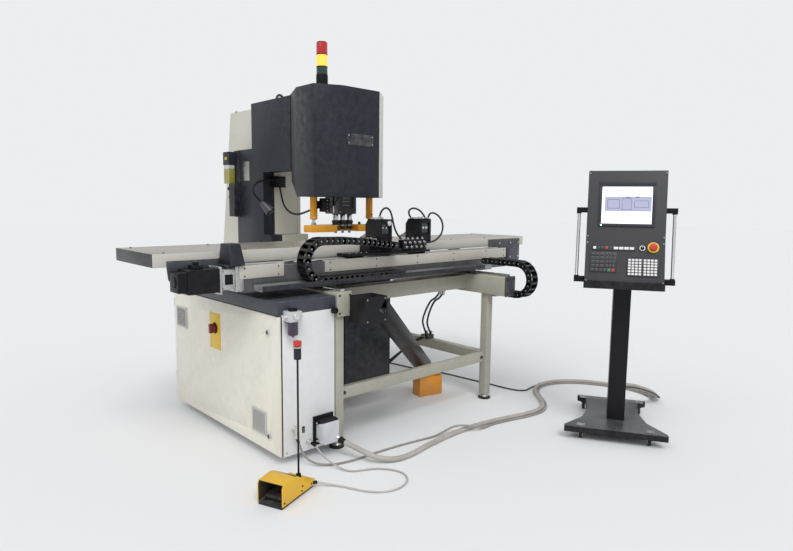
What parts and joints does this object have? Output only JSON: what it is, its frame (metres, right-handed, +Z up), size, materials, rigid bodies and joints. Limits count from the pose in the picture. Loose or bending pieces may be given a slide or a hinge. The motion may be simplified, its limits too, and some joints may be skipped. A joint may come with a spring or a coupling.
{
  "type": "hydraulic cnc punching machine",
  "caption": "Hydraulic C-frame punching machine with punch stations in a row, a gripper-fed X-Y table, an operator console, a hooded foot switch and their cables.",
  "frame": {"origin": "on the floor, under the middle of the whole set, cords left out", "axes": "+X to the right along the beam as the operator sees it, +Y away from the operator, +Z up"},
  "size_m": [3.2132, 3.4315, 2.377],
  "materials": {
    "light_paint": "satin",
    "grey_paint": "satin",
    "dark_paint": "satin",
    "yellow_paint": "satin",
    "orange_paint": "satin",
    "black_steel": "satin",
    "steel": "brushed",
    "aluminium": "satin",
    "cast_iron": "matte",
    "black_plastic": "matte",
    "grey_plastic": "matte",
    "red_plastic": "gloss",
    "yellow_plastic": "gloss",
    "lamp_plastic": "gloss",
    "rubber": "matte",
    "hose_grey": "matte"
  },
  "bodies": {
    "machine": {"cabinet_shell": "light_paint", "cabinet_roof": "dark_paint", "cabinet_fittings": "black_plastic", "side_rails": "light_paint", "rail_guides": "steel", "base_frame": "grey_paint", "levelling_feet": "black_plastic", "frame_core": "light_paint", "frame_covers": "dark_paint", "die_holder": "steel", "lifting_eye": "steel", "head_cover": "dark_paint", "name_plates": "dark_paint", "ram_cylinder": "grey_paint", "stripper_cylinders": "steel", "signal_tower": "lamp_plastic", "lubricator": "black_plastic", "work_lamp": "black_plastic", "y_chain": "black_plastic", "scrap_chute": "black_steel", "scrap_bin": "orange_paint", "console_stand": "dark_paint", "console_case": "dark_paint", "console_panels": "black_plastic", "foot_switch": "yellow_plastic", "stop_pole": "black_steel", "foot_switch_lead": "hose_grey", "control_conduit": "hose_grey", "supply_conduit": "hose_grey", "rear_cable": "rubber", "valve_hose": "rubber", "hydraulic_hoses": "rubber"},
    "gantry": {"table": "grey_paint", "table_supports": "cast_iron", "x_beam": "grey_paint", "beam_covers": "aluminium", "cable_tray": "aluminium", "x_drive": "cast_iron", "x_chain": "black_plastic"},
    "carriage": {"carriage": "black_steel", "grippers": "black_steel", "gripper_hoses": "rubber"},
    "jaws": {"gripper_jaws": "steel"},
    "ram": {"ram_block": "steel"},
    "punch_left": {"punch_left": "steel"},
    "punch_middle": {"punch_middle": "steel"},
    "punch_right": {"punch_right": "steel"},
    "stripper": {"stripper_bar": "yellow_paint"},
    "door": {"cabinet_door": "light_paint"},
    "main_switch": {"main_switch": "black_plastic"},
    "door_lock_upper": {"door_lock_upper": "steel"},
    "door_lock_lower": {"door_lock_lower": "steel"},
    "console_stop": {"console_stop": "red_plastic"},
    "console_selector": {"console_selector": "black_plastic"},
    "foot_pedal": {"foot_pedal": "black_steel"},
    "pole_stop": {"pole_stop": "red_plastic"},
    "caster_1": {"caster_wheel_1": "rubber"},
    "caster_2": {"caster_wheel_2": "rubber"},
    "caster_3": {"caster_wheel_3": "rubber"},
    "caster_4": {"caster_wheel_4": "rubber"}
  },
  "joints": [
    {"name": "gantry_travel", "type": "slide", "parent": "machine", "child": "gantry", "axis": [0, 1, 0], "range_m": [-0.15, 0.15], "deforming": ["y_chain"]},
    {"name": "carriage_travel", "type": "slide", "parent": "gantry", "child": "carriage", "axis": [1, 0, 0], "range_m": [-0.4, 0.6], "deforming": ["x_chain"]},
    {"name": "jaw_stroke", "type": "slide", "parent": "carriage", "child": "jaws", "axis": [0, 0, 1], "range_m": [-0.0115, 0], "stiffness_N_per_m": 6000, "springref_m": 0.02},
    {"name": "ram_stroke", "type": "slide", "parent": "machine", "child": "ram", "axis": [0, 0, 1], "range_m": [-0.07, 0]},
    {"name": "punch_left_select", "type": "slide", "parent": "ram", "child": "punch_left", "axis": [0, 0, 1], "range_m": [0, 0.035]},
    {"name": "punch_middle_select", "type": "slide", "parent": "ram", "child": "punch_middle", "axis": [0, 0, 1], "range_m": [0, 0.035]},
    {"name": "punch_right_select", "type": "slide", "parent": "ram", "child": "punch_right", "axis": [0, 0, 1], "range_m": [0, 0.035]},
    {"name": "stripper_stroke", "type": "slide", "parent": "machine", "child": "stripper", "axis": [0, 0, 1], "range_m": [-0.05, 0]},
    {"name": "door_swing", "type": "hinge", "parent": "machine", "child": "door", "pos_m": [-0.973, 0.8277, 0.4], "axis": [0, 0, 1], "range_deg": [-110, 0]},
    {"name": "main_switch_turn", "type": "hinge", "parent": "door", "child": "main_switch", "pos_m": [-0.993, 0.2357, 0.627], "axis": [1, 0, 0], "range_deg": [0, 90]},
    {"name": "lock_upper_turn", "type": "hinge", "parent": "door", "child": "door_lock_upper", "pos_m": [-0.983, -0.3633, 0.7], "axis": [1, 0, 0], "range_deg": [-90, 0]},
    {"name": "lock_lower_turn", "type": "hinge", "parent": "door", "child": "door_lock_lower", "pos_m": [-0.983, -0.3633, 0.14], "axis": [1, 0, 0], "range_deg": [0, 90]},
    {"name": "console_stop_press", "type": "slide", "parent": "machine", "child": "console_stop", "axis": [0.8281, 0.4781, -0.2927], "range_m": [0, 0.005]},
    {"name": "console_selector_turn", "type": "hinge", "parent": "machine", "child": "console_selector", "pos_m": [0.70774, -1.52633, 1.13585], "axis": [0.8281, 0.4781, -0.2927], "range_deg": [-45, 45]},
    {"name": "pedal_press", "type": "hinge", "parent": "machine", "child": "foot_pedal", "pos_m": [-1.08943, -0.72349, 0.046], "axis": [-0.3746, 0.9272, 0], "range_deg": [-5, 0], "stiffness_Nm_per_rad": 20, "springref_deg": 4.58},
    {"name": "pole_stop_press", "type": "slide", "parent": "machine", "child": "pole_stop", "axis": [0, 0, 1], "range_m": [-0.005, 0]},
    {"name": "caster_1_roll", "type": "hinge", "parent": "machine", "child": "caster_1", "pos_m": [0.57023, -1.28126, 0.021], "axis": [0.5, -0.866, 0], "continuous": true},
    {"name": "caster_2_roll", "type": "hinge", "parent": "machine", "child": "caster_2", "pos_m": [0.76023, -1.61034, 0.021], "axis": [0.5, -0.866, 0], "continuous": true},
    {"name": "caster_3_roll", "type": "hinge", "parent": "machine", "child": "caster_3", "pos_m": [1.05021, -1.02261, 0.021], "axis": [0.5, -0.866, 0], "continuous": true},
    {"name": "caster_4_roll", "type": "hinge", "parent": "machine", "child": "caster_4", "pos_m": [1.22421, -1.32399, 0.021], "axis": [0.5, -0.866, 0], "continuous": true}
  ]
}
